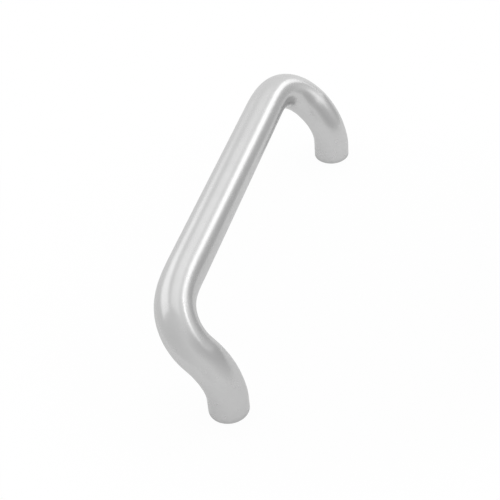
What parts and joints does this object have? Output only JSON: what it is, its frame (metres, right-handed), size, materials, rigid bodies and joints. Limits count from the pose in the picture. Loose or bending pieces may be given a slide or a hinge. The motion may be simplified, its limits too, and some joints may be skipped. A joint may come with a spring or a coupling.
{
  "type": "offset pull handle",
  "caption": "Offset door pull handle: one round bar, each leg cranked sideways then turned into a straight grip, with a tapped blind hole in each foot.",
  "frame": {"origin": "on the door face, midway between the two fixing holes", "axes": "+Z out of the door face, so the feet stand on z = 0; the grip runs along Y and is offset towards -X"},
  "size_m": [0.0535, 0.2484, 0.0682],
  "materials": {
    "satin_aluminium": "satin, natural anodised"
  },
  "bodies": {
    "root": {"handle_bar": "satin_aluminium"}
  },
  "joints": []
}
